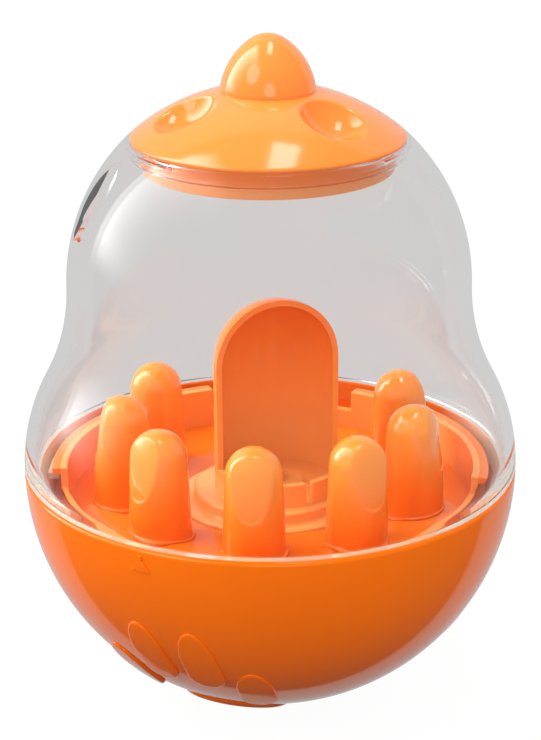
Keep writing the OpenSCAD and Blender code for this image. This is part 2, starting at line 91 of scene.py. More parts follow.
def softCorners(corners, steps=6):
    # a polyline of (r, z, radius): each corner with a radius becomes an arc that touches both of its sides
    out = []
    n = len(corners)
    for i, (r, z, rad) in enumerate(corners):
        p = np.array([r, z])
        if rad <= 0 or i in (0, n - 1):
            out.append(p[None])
            continue
        a = unit(np.array(corners[i - 1][:2]) - p)
        b = unit(np.array(corners[i + 1][:2]) - p)
        half = math.acos(float(np.clip(a @ b, -1, 1))) / 2
        if half > math.radians(88):  # nearly straight
            out.append(p[None])
            continue
        centre = p + unit(a + b) * rad / math.sin(half)
        start = p + a * rad / math.tan(half) - centre
        end = p + b * rad / math.tan(half) - centre
        t = np.linspace(0, 1, steps)[:, None]
        arm = start * (1 - t) + end * t
        out.append(centre + arm / np.linalg.norm(arm, axis=1, keepdims=True) * rad)
    return np.vstack(out)


def arc(cr, cz, rad, a0, a1, n):
    # circular arc in the r-z plane, angles in degrees
    a = np.radians(np.linspace(a0, a1, n))
    return np.stack([cr + rad * np.cos(a), cz + rad * np.sin(a)], -1)


def joinParts(parts):
    # several (points, quads) as one
    pts, quads, base = [], [], 0
    for p, q in parts:
        pts.append(p)
        quads.append(q + base)
        base += len(p)
    return np.vstack(pts), np.vstack(quads)


meshing = dict(weld=2e-6, thin=1e-7, bevelSteps=3, bevelAngle=40)


def makePiece(name, shape, material, body, nodes=(), bevel=0.0, sharp=38):
    pts, quads = shape
    me = bpy.data.meshes.new(name)
    me.from_pydata(((pts + [0, 0, rimLift]) * mm).tolist(), [], quads.tolist())
    bm = bmesh.new()
    bm.from_mesh(me)
    bmesh.ops.remove_doubles(bm, verts=bm.verts, dist=meshing["weld"])
    bmesh.ops.dissolve_degenerate(bm, edges=bm.edges, dist=meshing["thin"])
    bmesh.ops.recalc_face_normals(bm, faces=bm.faces)
    bm.to_mesh(me)
    bm.free()
    me.shade_smooth()
    me.set_sharp_from_angle(angle=math.radians(sharp))
    me.materials.append(material)
    obj = bpy.data.objects.new(name, me)
    bpy.context.scene.collection.objects.link(obj)
    if bevel:
        mod = obj.modifiers.new("edge", "BEVEL")
        mod.width = bevel * mm
        mod.segments = meshing["bevelSteps"]
        mod.limit_method = "ANGLE"
        mod.angle_limit = math.radians(meshing["bevelAngle"])
        mod.harden_normals = True
    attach(obj, body)
    if nodes:
        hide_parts(*nodes)
    return obj


def slab(turns, heights, keep, place, closed):
    # a wall with two faces: place(turn, row, side) gives the points of the outer (0) and inner (1) face;
    # keep says which cells of the grid stand, and every edge between a standing and a missing cell gets a rim
    nu, nv = len(turns), len(heights)
    u, v = np.meshgrid(np.arange(nu), np.arange(nv), indexing="ij")
    pts = np.vstack([place(u, v, side).reshape(-1, 3) for side in (0, 1)])
    idx = np.arange(nu * nv).reshape(nu, nv)
    nxt = np.roll(idx, -1, 0) if closed else idx[1:]
    low = idx if closed else idx[:-1]
    a, b, c, d = low[:, :-1], nxt[:, :-1], nxt[:, 1:], low[:, 1:]
    other = nu * nv
    quads = [np.stack([a, b, c, d], -1)[keep], np.stack([a, d, c, b], -1)[keep] + other]
    pad = np.zeros((keep.shape[0], 1), bool)
    below = np.hstack([pad, keep[:, :-1]])
    above = np.hstack([keep[:, 1:], pad])
    if closed:
        before, after = np.roll(keep, 1, 0), np.roll(keep, -1, 0)
    else:
        none = np.zeros((1, keep.shape[1]), bool)
        before, after = np.vstack([none, keep[:-1]]), np.vstack([keep[1:], none])
    for p, q, bare in ((a, b, keep & ~below), (c, d, keep & ~above), (d, a, keep & ~before), (b, c, keep & ~after)):
        quads.append(np.stack([p[bare], p[bare] + other, q[bare] + other, q[bare]], -1))
    return pts, np.vstack(quads)


def ringWall(turns, heights, keep, inR, outR, closed):
    # an upright wall that runs round the axis between two radii
    def place(u, v, side):
        r = inR if side else outR
        return np.stack([r * np.sin(turns[u]), -r * np.cos(turns[u]), heights[v]], -1)
    return slab(turns, heights, keep, place, closed)


def arcBlock(r0, r1, z0, z1, turn0, turn1, steps=10):
    # a square section carried along an arc, closed at both ends
    turns = np.radians(np.linspace(turn0, turn1, steps))
    return ringWall(turns, np.array([z0, z1]), np.ones((steps - 1, 1), bool), r0, r1, False)


def softMin(a, b, k):
    # the smaller of two values, blended over a width k
    h = np.clip(0.5 + 0.5 * (b - a) / k, 0, 1)
    return b + (a - b) * h - k * h * (1 - h)


def newMaterial(name):
    mat = bpy.data.materials.new(name)
    mat.use_nodes = True
    tree = mat.node_tree
    return mat, tree, tree.nodes["Principled BSDF"]


def feed(tree, node, inputs):
    # another node's output is linked to the socket, anything else is the socket's own value
    for key, value in inputs.items():
        if isinstance(value, bpy.types.NodeSocket):
            tree.links.new(value, node.inputs[key])
        else:
            node.inputs[key].default_value = value


def addNode(tree, kind, inputs=None, **options):
    node = tree.nodes.new("ShaderNode" + kind)
    for key, value in options.items():
        setattr(node, key, value)
    feed(tree, node, inputs or {})
    return node.outputs


mould = dict(ior=1.5, stainFrom=0.45, stainTo=0.75, grainDepth=0.00005, coatRough=0.06, glowRadius=(1.0, 0.35, 0.1))


def mouldedPlastic(name, look):
    # moulded plastic: a slow colour drift, a fine grain in roughness and bump, and a tone that follows the height,
    # through which light and shade are painted
    mat, tree, bsdf = newMaterial(name)
    where = addNode(tree, "TexCoord")["Object"]
    drift = addNode(tree, "TexNoise", {"Scale": look["driftScale"], "Detail": 3, "Vector": where})["Fac"]
    grain = addNode(tree, "TexNoise", {"Scale": look["grainScale"], "Detail": 2, "Vector": where})["Fac"]
    # painted light and shade: the colour runs from the low tone to the high tone as the height rises
    height = addNode(tree, "SeparateXYZ", {"Vector": where})["Z"]
    rise = addNode(tree, "MapRange", {"From Min": look["lowZ"], "From Max": look["highZ"], "Value": height},
                   interpolation_type="SMOOTHSTEP")["Result"]
    tone = addNode(tree, "Mix", {"A": look["low"], "B": look["high"], "Factor": rise}, data_type="RGBA")["Result"]
    amount = addNode(tree, "MapRange", {"From Min": mould["stainFrom"], "From Max": mould["stainTo"],
                                        "To Max": look["stainShare"], "Value": drift})["Result"]
    vary = addNode(tree, "Mix", {"A": tone, "B": look["stain"], "Factor": amount}, data_type="RGBA",
                   blend_type="MULTIPLY")["Result"]
    rough = addNode(tree, "MapRange", {"To Min": look["rough"] - look["roughSpread"],
                                       "To Max": look["rough"] + look["roughSpread"], "Value": grain})["Result"]
    bump = addNode(tree, "Bump", {"Strength": look["bump"], "Distance": mould["grainDepth"], "Height": grain})["Normal"]
    feed(tree, bsdf, {"Base Color": vary, "Roughness": rough, "Normal": bump, "IOR": mould["ior"],
                      "Specular Tint": look["gloss"], "Coat Weight": look["coat"],
                      "Coat Roughness": mould["coatRough"], "Subsurface Weight": look["glow"],
                      "Subsurface Radius": mould["glowRadius"], "Subsurface Scale": look["glowDepth"]})
    return mat


# painted shade: the bowl is painted slightly darker towards the flat underneath
bowlLook = dict(low=paint(242, 102, 8), high=paint(244, 110, 10), lowZ=0.0, highZ=0.05, stain=(0.93, 0.9, 0.86, 1),
                stainShare=0.5, driftScale=38, grainScale=2600, rough=0.06, roughSpread=0.02, bump=0.05, glow=0.06,
                glowDepth=0.002, coat=0.0, gloss=(1, 0.86, 0.52, 1))
# painted shade: the crown is painted slightly darker towards its lower edge
lidLook = dict(low=paint(255, 138, 56), high=paint(255, 143, 62), lowZ=0.122, highZ=0.132,
               stain=(0.95, 0.92, 0.88, 1), stainShare=0.5, driftScale=45, grainScale=2600, rough=0.12,
               roughSpread=0.04, bump=0.08, glow=0.1, glowDepth=0.002, coat=0.25, gloss=(1, 1, 1, 1))
# painted shade: below the floor, in the sunk seat round the pivot and underneath, the tray is painted dark brown
trayLook = dict(low=paint(84, 26, 4), high=paint(243, 122, 20), lowZ=0.0405, highZ=0.0422, stain=(0.94, 0.9, 0.86, 1),
                stainShare=0.6, driftScale=40, grainScale=2600, rough=0.14, roughSpread=0.04, bump=0.1, glow=0.08,
                glowDepth=0.002, coat=0.2, gloss=(1, 0.84, 0.58, 1))
# painted light: low down, at the collar and the hub, the scoop plastic is painted paler; the hood above is more
# saturated
scoopLook = dict(low=paint(252, 170, 90), high=paint(246, 124, 30), lowZ=0.046, highZ=0.085,
                 stain=(0.94, 0.9, 0.86, 1), stainShare=0.6, driftScale=46, grainScale=2600, rough=0.12,
                 roughSpread=0.04, bump=0.08, glow=0.08, glowDepth=0.002, coat=0.3, gloss=(1, 1, 1, 1))
# painted light: the posts are painted lighter towards their tops and more saturated at their feet
postLook = dict(low=paint(248, 120, 10), high=paint(248, 150, 60), lowZ=0.046, highZ=0.064,
                stain=(0.95, 0.92, 0.88, 1), stainShare=0.5, driftScale=90, grainScale=3200, rough=0.12,
                roughSpread=0.03, bump=0.08, glow=0.25, glowDepth=0.003, coat=0.5, gloss=(1, 0.95, 0.85, 1))
bowlOrange = mouldedPlastic("bowlOrange", bowlLook)
lidOrange = mouldedPlastic("lidOrange", lidLook)
# painted light: the skirt is painted in two bands, paler and duller below, brighter above, for the light and veil of
# the clear neck in front of it
skirtOrange = mouldedPlastic("skirtOrange", dict(lidLook, low=paint(234, 148, 88), high=paint(252, 128, 48),
                                                 lowZ=0.1175, highZ=0.1195))
trayOrange = mouldedPlastic("trayOrange", trayLook)
# painted light: the wall takes a paler salmon copy of the tray plastic, lightened where it stands in shade
wallOrange = mouldedPlastic("wallOrange", dict(trayLook, high=paint(248, 156, 74)))
scoopOrange = mouldedPlastic("scoopOrange", scoopLook)
postOrange = mouldedPlastic("postOrange", postLook)


def clearPlastic(name, look):
    # clear polished plastic: refracting and faintly rippled, with a painted glare at its foot, a pale orange diffuse
    # sheet that fades towards the back; shadow rays pass so that the inside is lit, and so do rays that are trapped in
    # the wall
    mat, tree, bsdf = newMaterial(name)
    where = addNode(tree, "TexCoord")["Object"]
    ripple = addNode(tree, "TexNoise", {"Scale": look["rippleScale"], "Detail": 1, "Vector": where})["Fac"]
    bump = addNode(tree, "Bump", {"Strength": look["ripple"], "Distance": look["rippleDepth"],
                                  "Height": ripple})["Normal"]
    haze = addNode(tree, "MapRange", {"To Min": look["rough"], "To Max": look["rough"] + look["roughSpread"],
                                      "Value": ripple})["Result"]
    feed(tree, bsdf, {"Base Color": look["tint"], "Transmission Weight": 1.0, "IOR": look["ior"], "Normal": bump,
                      "Roughness": haze})
    place = addNode(tree, "SeparateXYZ", {"Vector": where})
    # painted glare: near the foot the glass is mixed with a pale orange diffuse sheet, fading out towards the back
    low = addNode(tree, "MapRange", {"From Min": look["footZ"] + look["footSoft"],
                                     "From Max": look["footZ"] - look["footSoft"],
                                     "To Max": look["paintedGlare"], "Value": place["Z"]},
                  interpolation_type="SMOOTHSTEP")["Result"]
    front = addNode(tree, "MapRange", {"From Min": look["paintedGlareEnd"], "From Max": look["paintedGlareEnd"] - look["paintedGlareFade"],
                                       "Value": place["Y"]})["Result"]
    share = addNode(tree, "Math", {0: low, 1: front}, operation="MULTIPLY")[0]
    paintedGlare = addNode(tree, "BsdfDiffuse", {"Color": look["paintedGlareTone"]})["BSDF"]
    body = addNode(tree, "MixShader", {"Fac": share, 1: bsdf.outputs["BSDF"], 2: paintedGlare})["Shader"]
    ray = addNode(tree, "LightPath")
    trapped = addNode(tree, "Math", {0: ray["Glossy Depth"], 1: look["trapped"]}, operation="GREATER_THAN")[0]
    free = addNode(tree, "Math", {0: ray["Is Shadow Ray"], 1: trapped}, operation="MAXIMUM")[0]
    through = addNode(tree, "BsdfTransparent", {"Color": look["shade"]})["BSDF"]
    wall = addNode(tree, "MixShader", {"Fac": free, 1: body, 2: through})["Shader"]
    tree.links.new(wall, tree.nodes["Material Output"].inputs["Surface"])
    return mat


# the glare keys set the painted glare at the dome's foot: its strength, colour, and where it fades out towards the back
clearLook = dict(tint=(1.0, 0.99, 0.985, 1), shade=(0.95, 0.95, 0.95, 1), rough=0.0, roughSpread=0.02, ripple=0.1,
                 rippleScale=32, rippleDepth=0.0004, ior=1.22, trapped=2, footZ=0.0518, footSoft=0.0002, paintedGlare=0.45,
                 paintedGlareTone=(0.92, 0.76, 0.56, 1), paintedGlareEnd=0.03, paintedGlareFade=0.02)
clearShell = clearPlastic("clearShell", clearLook)


def plainMetal(name, look):
    # turned or cast metal: fine noise in colour, roughness and bump
    roughSpread, grainDepth = 0.08, 0.0001
    mat, tree, bsdf = newMaterial(name)
    where = addNode(tree, "TexCoord")["Object"]
    grain = addNode(tree, "TexNoise", {"Scale": look["grainScale"], "Detail": 4, "Vector": where})["Fac"]
    shade = addNode(tree, "Mix", {"A": look["dark"], "B": look["light"], "Factor": grain}, data_type="RGBA")["Result"]
    rough = addNode(tree, "MapRange", {"To Min": look["rough"] - roughSpread, "To Max": look["rough"] + roughSpread,
                                       "Value": grain})["Result"]
    bump = addNode(tree, "Bump", {"Strength": look["bump"], "Distance": grainDepth, "Height": grain})["Normal"]
    feed(tree, bsdf, {"Base Color": shade, "Roughness": rough, "Normal": bump, "Metallic": 1.0})
    return mat


screwSteel = plainMetal("screwSteel", dict(dark=paint(150, 150, 152), light=paint(196, 196, 198), grainScale=1800,
                                           rough=0.3, bump=0.15))
weightIron = plainMetal("weightIron", dict(dark=paint(62, 62, 64), light=paint(96, 96, 98), grainScale=700, rough=0.6,
                                           bump=0.5))
dress = {"bowl": bowlOrange, "counterweight": weightIron, "tray": trayOrange, "post": postOrange, "hub": scoopOrange,
         "scoop": scoopOrange, "dome": clearShell, "lid": lidOrange, "knob": lidOrange, "weight_screws": screwSteel,
         "tray_screws": screwSteel, "hub_screw": screwSteel, "hub_washer": scoopOrange, "knob_screw": screwSteel}
for nodeName, obj in cad.items():
    obj.data.materials[0] = dress["post" if nodeName.startswith("post") else nodeName]
print("materials made")


bowl = dict(outer=52.49, inner=50.1, floorZ=-47.04, ledgeZ=-11.2, ledgeT=3.0, ledgeIn=45.83, lip=0.75, steps=256,
            rows=(72, 14, 30))


def bowlShape(b):
    # outer sphere from the flat underneath to the rim, a rounded rim, then the inner sphere with the tray's ledge
    outRows, topRows, underRows = b["rows"]
    low = math.degrees(math.asin(-rimLift / b["outer"]))
    high = math.degrees(math.asin(-b["lip"] / b["outer"]))
    outer = arc(0, 0, b["outer"], low, high, outRows)
    edge = softCorners([(b["outer"], -2, 0), (b["outer"], 0, b["lip"]), (b["inner"], 0, b["lip"]),
                        (b["inner"], -2, 0)])[1:-1]
    top = arc(0, 0, b["inner"], -math.degrees(math.asin(0.9 / b["inner"])),
              math.degrees(math.asin(b["ledgeZ"] / b["inner"])), topRows)
    ledgeLow = b["ledgeZ"] - b["ledgeT"]
    ledge = np.array([[b["ledgeIn"], b["ledgeZ"]], [b["ledgeIn"], ledgeLow]])
    under = arc(0, 0, b["inner"], math.degrees(math.asin(ledgeLow / b["inner"])),
                math.degrees(math.asin(b["floorZ"] / b["inner"])), underRows)
    section = np.vstack([[[0, -rimLift]], outer, edge, top, ledge, under, [[0, b["floorZ"]]]])
    return spinRound(section, b["steps"], False)


foot = dict(leftTurn=-25, rightTurn=96, relief=0.9, toeW=8.0, midL=18.6, sideL=16.6, spread=14.0, midDrop=30.2,
            sideDrop=42.2, lean=5, aside=0.5, tipShare=0.45, padD=23.0, padDrop=70.0, crisp=22, sink=0.5)
mark = dict(turn=-29, height=3.1, drop=4.7, wide=0.7, stub=0.15, relief=0.4, crisp=14, sink=0.3)


def raisedPatch(turn, drop, outline, spine, relief, crisp, sink, tipShare=1):
    # a patch that stands out of the ball: rings run from the spine to the outline, and the height falls off
    # as (1 - ring^crisp)^0.5, so the top is even and the edge is round; the last rings close it inside the wall;
    # the height also grows evenly along the patch, from the tip's share at its upper end to the whole at its lower end
    t, d = math.radians(turn), math.radians(drop)
    out = np.array([math.sin(t) * math.cos(d), -math.cos(t) * math.cos(d), -math.sin(d)])
    down = np.array([-math.sin(t) * math.sin(d), math.cos(t) * math.sin(d), -math.cos(d)])
    side = np.cross(out, down)
    ring = np.concatenate([np.linspace(0, 0.8, 6), 1 - np.geomspace(0.14, 0.002, 9), [1.0, 1.0, 0.0]])
    flat = spine[None] + ring[:, None, None] * (outline - spine)[None]
    x, y = flat[..., 0], flat[..., 1]
    grow = tipShare + (1 - tipShare) * np.clip(0.5 + x / np.ptp(outline[:, 0]), 0, 1)
    high = relief * np.sqrt(np.clip(1 - ring ** crisp, 0, 1))[:, None] * grow
    high[-2:] = -sink
    reach = bowl["outer"] + high
    along = np.sqrt(reach ** 2 - x ** 2 - y ** 2)
    pts = x[..., None] * down + y[..., None] * side + along[..., None] * out
    pts[..., 2] = np.maximum(pts[..., 2], -rimLift)
    return pts.reshape(-1, 3), ringQuads(len(ring), len(outline))


def leafBar(length, width, lean=0, n=24):
    # outline along x: a half circle at the low end and a half ellipse up to the tip, whose centre is the middle of
    # the length; the spine points lie on the axis, and the whole is turned by the lean
    a = np.radians(np.concatenate([np.linspace(-90, 90, n), np.linspace(90, 270, n)]))
    low = np.arange(2 * n) < n
    end = np.where(low, (length - width) / 2, 0)
    rad = np.where(low, width / 2, length / 2)
    outline = np.stack([end + np.cos(a) * rad, np.sin(a) * width / 2], -1)
    spine = np.stack([end + np.where(low, 0, np.cos(a) * (length - width) / 2), 0 * end], -1)
    c, s = math.cos(math.radians(lean)), math.sin(math.radians(lean))
    turn = np.array([[c, s], [-s, c]])
    return outline @ turn, spine @ turn


def footShape(turn, f, hand):
    # a round pad and four toes in a fan, longer in the middle; hand is 1 for the left foot and -1 for the right one
    edge = f["relief"], f["crisp"], f["sink"]
    parts = [raisedPatch(turn, f["padDrop"], *leafBar(f["padD"], f["padD"], 0, 32), *edge)]
    for k in (-1.5, -0.5, 0.5, 1.5):
        long, drop = (f["midL"], f["midDrop"]) if abs(k) < 1 else (f["sideL"], f["sideDrop"])
        toe = leafBar(long, f["toeW"], hand * f["lean"])
        parts.append(raisedPatch(turn + k * f["spread"] - hand * f["aside"], drop, *toe, *edge, f["tipShare"]))
    return joinParts(parts)


def lockMark(m):
    # a small triangle under the rim with a stub on its tip, both slightly raised
    h = m["height"]
    lat = math.degrees(math.asin((m["drop"] - h / 2) / bowl["outer"]))
    corner = np.array([[h * 0.5, -h * m["wide"]], [h * 0.5, h * m["wide"]], [-h * 0.5, 0]])
    t = np.linspace(0, 1, 12, endpoint=False)[:, None]
    tri = np.vstack([corner[i] * (1 - t) + corner[(i + 1) % 3] * t for i in range(3)])
    w = h * m["stub"]
    box = np.array([[w * 1.5, -w], [w * 1.5, w], [-w, w], [-w, -w]])
    box = np.vstack([box[i] * (1 - t) + box[(i + 1) % 4] * t for i in range(4)]) - [h * 0.5, 0]
    return joinParts([raisedPatch(m["turn"], lat, edge, edge * 0 + [mid, 0], m["relief"], m["crisp"], m["sink"])
                      for edge, mid in ((tri, h * 0.16), (box, -h * 0.5))])


makePiece("bowlShell", bowlShape(bowl), bowlOrange, "base", ["bowl"])
makePiece("leftFoot", footShape(foot["leftTurn"], foot, 1), bowlOrange, "base", sharp=60)
makePiece("rightFoot", footShape(foot["rightTurn"], foot, -1), bowlOrange, "base", sharp=60)
makePiece("lockMark", lockMark(mark), bowlOrange, "base", sharp=60)
print("bowl made")


tray = dict(floorZ=-9.0, thick=2.2, outer=48.48, wellR=20.45, wellZ=-12.0, wellT=3.6, pivotR=4.0, pivotZ=-6.05,
            wallIn=43.44, wallOut=45.04, lowZ=-4.6, hookOut=46.84, hookT=1.6, rightTab=(75, 154), leftTab=(-162, -83),
            steps=220)


def trayFloor(t):
    # turned section: pivot, sunk seat, floor and outer edge
    under = t["floorZ"] - t["thick"]
    sunk = t["wellZ"] - t["wellT"]
    return spinRound(softCorners([(0, t["pivotZ"], 0), (t["pivotR"], t["pivotZ"], 0.4),
                                  (t["pivotR"], t["wellZ"], 0.2), (t["wellR"], t["wellZ"], 0.3),
                                  (t["wellR"], t["floorZ"], 0.3), (t["outer"], t["floorZ"], 0.4),
                                  (t["outer"], under, 0.3), (t["wellR"] + t["thick"], under, 0.3),
                                  (t["wellR"] + t["thick"], sunk, 0.4), (0, sunk, 0)]), t["steps"], False)


def trayWall(t):
    # wall round the floor, low all the way and up to the rim in the two tabs
    edges = sorted({*np.arange(-180, 180, 2.0), *t["rightTab"], *t["leftTab"]})
    turns = np.radians(np.array(edges))
    heights = np.array([t["floorZ"] - 0.4, t["lowZ"], -t["hookT"], 0.0])
    middle = (np.array(edges) + np.append(edges[1:], edges[0] + 360)) / 2
    tab = np.any([(middle > a) & (middle < b) for a, b in (t["rightTab"], t["leftTab"])], 0)
    keep = np.stack([np.ones_like(tab), tab, tab], -1)
    return ringWall(turns, heights, keep, t["wallIn"], t["wallOut"], True)


makePiece("trayFloor", trayFloor(tray), trayOrange, "base", ["tray"])
makePiece("trayWall", trayWall(tray), wallOrange, "base", bevel=0.25)
for side in ("rightTab", "leftTab"):
    block = arcBlock(tray["wallOut"] - 0.2, tray["hookOut"], -tray["hookT"], 0, *tray[side], 40)
    makePiece(side + "Hook", block, trayOrange, "base", bevel=0.25)
print("tray made")


post = dict(count=7, ring=31.44, first=-126, step=40, height=24.2, footR=6.6, tipR=5.8, flangeW=0.5, flangeH=0.7,
            nailShare=0.58, nailCut=1.4, nailIn=0.4, nailEnd=2.7, nailFlat=0.6, nailEdge=0.3, stemR=3.5, barbW=1.0,
            barbT=1.2, floorT=2.2, steps=128)


def postShape(turn, p):
    # a leaning side that runs into a round top, turned round its own axis; then the outer side is pressed
    # towards the plane of the nail, inside an outline with a round lower end
    tipC = p["height"] - p["tipR"]
    lean = math.atan((p["footR"] - p["tipR"]) / tipC)
    flange = p["footR"] + p["flangeW"]
    stemLow = -p["floorT"] - 0.1 - p["barbT"]
    under = np.array([[0, stemLow], [p["stemR"] + p["barbW"], stemLow], [p["stemR"] + p["barbW"], stemLow + p["barbT"]],
                      [p["stemR"], stemLow + p["barbT"]], [p["stemR"], 0.0]])
    footEdge = softCorners([(p["stemR"], 0.02, 0), (flange, 0.02, 0.2), (flange, p["flangeH"], 0.3),
                            (p["footR"] - 0.03, p["flangeH"], 0.25), (p["footR"] - 0.1, 2.0, 0)], 5)
    z = np.linspace(2.2, tipC + p["tipR"] * math.sin(lean), 84)
    sideR = p["footR"] - (p["footR"] - p["tipR"]) * z / tipC
    tip = arc(0, tipC, p["tipR"], math.degrees(lean), 90, 22)[1:]
    profile = np.vstack([under, footEdge, np.stack([sideR, z], -1), tip])
    pts, quads = spinRound(profile, p["steps"], False)
    x, y, z = -pts[:, 1], pts[:, 0], pts[:, 2]  # x looks outwards from the ring
    nailFoot = p["height"] * (1 - p["nailShare"])
    footX = p["footR"] - (p["footR"] - p["tipR"]) * nailFoot / tipC
    slope = (footX - p["tipR"] + p["nailCut"]) / (tipC - nailFoot)
    plane = footX - p["nailIn"] - slope * (z - nailFoot)
    low = nailFoot + p["nailEnd"] - np.sqrt(np.clip(p["nailEnd"] ** 2 - y ** 2, 0, None))
    inside = np.clip((z - low) / p["nailEdge"], 0, 1)
    over = np.clip(x - plane, 0, None)
    x = x - p["nailFlat"] * over * inside * inside * (3 - 2 * inside)
    t = math.radians(turn)
    out = np.array([math.sin(t), -math.cos(t)])
    side = np.array([math.cos(t), math.sin(t)])
    xy = (p["ring"] + x)[:, None] * out + y[:, None] * side
    return np.column_stack([xy, z + tray["floorZ"]]), quads


for i in range(post["count"]):
    shape = postShape(post["first"] + i * post["step"], post)
    makePiece("roundPost%d" % (i + 1), shape, postOrange, "base", ["post_%d" % (i + 1)], sharp=70)
print("posts made")


hub = dict(outer=20.1, foot=-11.85, edge=-8.6, stepR=16.5, step=-6.2, bore=4.06, seam=-8, steps=160)
scoop = dict(outer=13.8, inner=12.5, aside=1.9, turn=20, foot=-8.1, collar=-1.2, hoodZ=21.4, slotTurn=8, slotW=1.6,
             slotZ=-5.87, backSteps=8, hoodSteps=26)


def hubShape(h):
    # turned section: flat edge, then a raised step
    section = softCorners([(h["bore"], h["seam"], 0), (h["bore"], h["step"], 0.3), (h["stepR"], h["step"], 0.5),
                           (h["stepR"], h["edge"], 0.4), (h["outer"], h["edge"], 0.35), (h["outer"], h["foot"], 0.2),
                           (h["bore"], h["foot"], 0.2), (h["bore"], h["seam"], 0)])
    return spinRound(section, h["steps"], False)


def scoopShape(s):
    # a tube wall: a low collar all round with one slot, and behind the mouth an upright half that closes in a
    # quarter ball; lean is the angle up that ball, 0 on the straight part
    half = math.degrees(s["slotW"] / 2 / s["outer"])
    edges = np.array(sorted({*np.arange(-180, 180, 3.0), s["slotTurn"] - half, s["slotTurn"] + half}))
    turns = np.radians(edges)
    base = np.concatenate([[s["foot"], s["slotZ"]], np.linspace(s["collar"], s["hoodZ"], s["backSteps"]),
                           np.full(s["hoodSteps"], s["hoodZ"])])
    ball = np.linspace(0, 90, s["hoodSteps"] + 1)[1:]
    lean = np.radians(np.concatenate([np.zeros(len(base) - len(ball)), ball]))
    middle = (edges + np.append(edges[1:], edges[0] + 360)) / 2
    back = np.abs(middle) > 90
    slot = np.abs(middle - s["slotTurn"]) < half
    keep = np.repeat(back[:, None], len(base) - 1, 1)
    keep[:, 0] = True
    keep[:, 1] = ~slot

    def place(u, v, side):
        r = s["outer"] if side == 0 else s["inner"]
        flat = r * np.cos(lean[v])
        return np.stack([flat * np.sin(turns[u]), -flat * np.cos(turns[u]), base[v] + r * np.sin(lean[v])], -1)

    pts, quads = slab(turns, base, keep, place, True)
    t = math.radians(s["turn"])
    x, y = pts[:, 0] + s["aside"], pts[:, 1].copy()
    pts[:, 0], pts[:, 1] = x * math.cos(t) - y * math.sin(t), x * math.sin(t) + y * math.cos(t)
    return pts, quads


makePiece("hubDisc", hubShape(hub), scoopOrange, "rotor", ["hub"])
makePiece("scoopTube", scoopShape(scoop), scoopOrange, "rotor", ["scoop"], bevel=0.3)
print("hub and scoop made")


dome = dict(wall=2.2, flareC=13.3, flareR=39.19, waistC=(87.1, 40.54), waistR=45.0, headZ=39.8, headR=42.1,
            topZ=70.22, topR=29.1, neckIn=26.0, neckOut=28.0, neckLow=66.83, footZ=0.15, beadR=0.8, spigotIn=47.99,
            spigotOut=49.59, spigotLow=-4.0, steps=256, arcSteps=(26, 22, 49))
outlet = dict(front=7.3, rise=19.0, length=16.0, width=8.0, window=(-93, -64), rows=(12, 46), rings=8)
neckLug = dict(inner=24.3, outer=26.5, low=67.83, high=69.22, turns=(127, 307), half=6)
footLug = dict(inner=45.39, outer=47.99, low=-3.55, high=-1.95, turns=(145, -92), half=6)


def domeFace(d, inset, zLow, zHigh):
    # flare arc, hollow waist arc and head arc, each touching the next, all moved inwards by inset
    (wr, wz), fr, hr, wrad = d["waistC"], d["flareR"] - inset, d["headR"] - inset, d["waistR"] + inset
    tilt = math.degrees(math.atan2(wz, wr - d["flareC"]))
    lift = math.degrees(math.atan2(wz - d["headZ"], wr))
    nf, nw, nh = d["arcSteps"]
    flare = arc(d["flareC"], 0, fr, math.degrees(math.asin(zLow / fr)), tilt, nf)
    waist = arc(wr, wz, wrad, 180 + tilt, 180 + lift, nw)
    head = arc(0, d["headZ"], hr, lift, math.degrees(math.asin((zHigh - d["headZ"]) / hr)), nh)
    return np.vstack([flare[:-1], waist[:-1], head])


def almond(direction, o):
    # distance from the outlet's middle to its edge along a direction: the nearer of two equal circles
    rad = (o["length"] ** 2 + o["width"] ** 2) / (4 * o["width"])
    reach = []
    for cy in (rad - o["width"] / 2, o["width"] / 2 - rad):
        along = direction[:, 0] * cy
        reach.append(along + np.sqrt(along ** 2 - cy ** 2 + rad ** 2))
    return np.minimum(*reach)


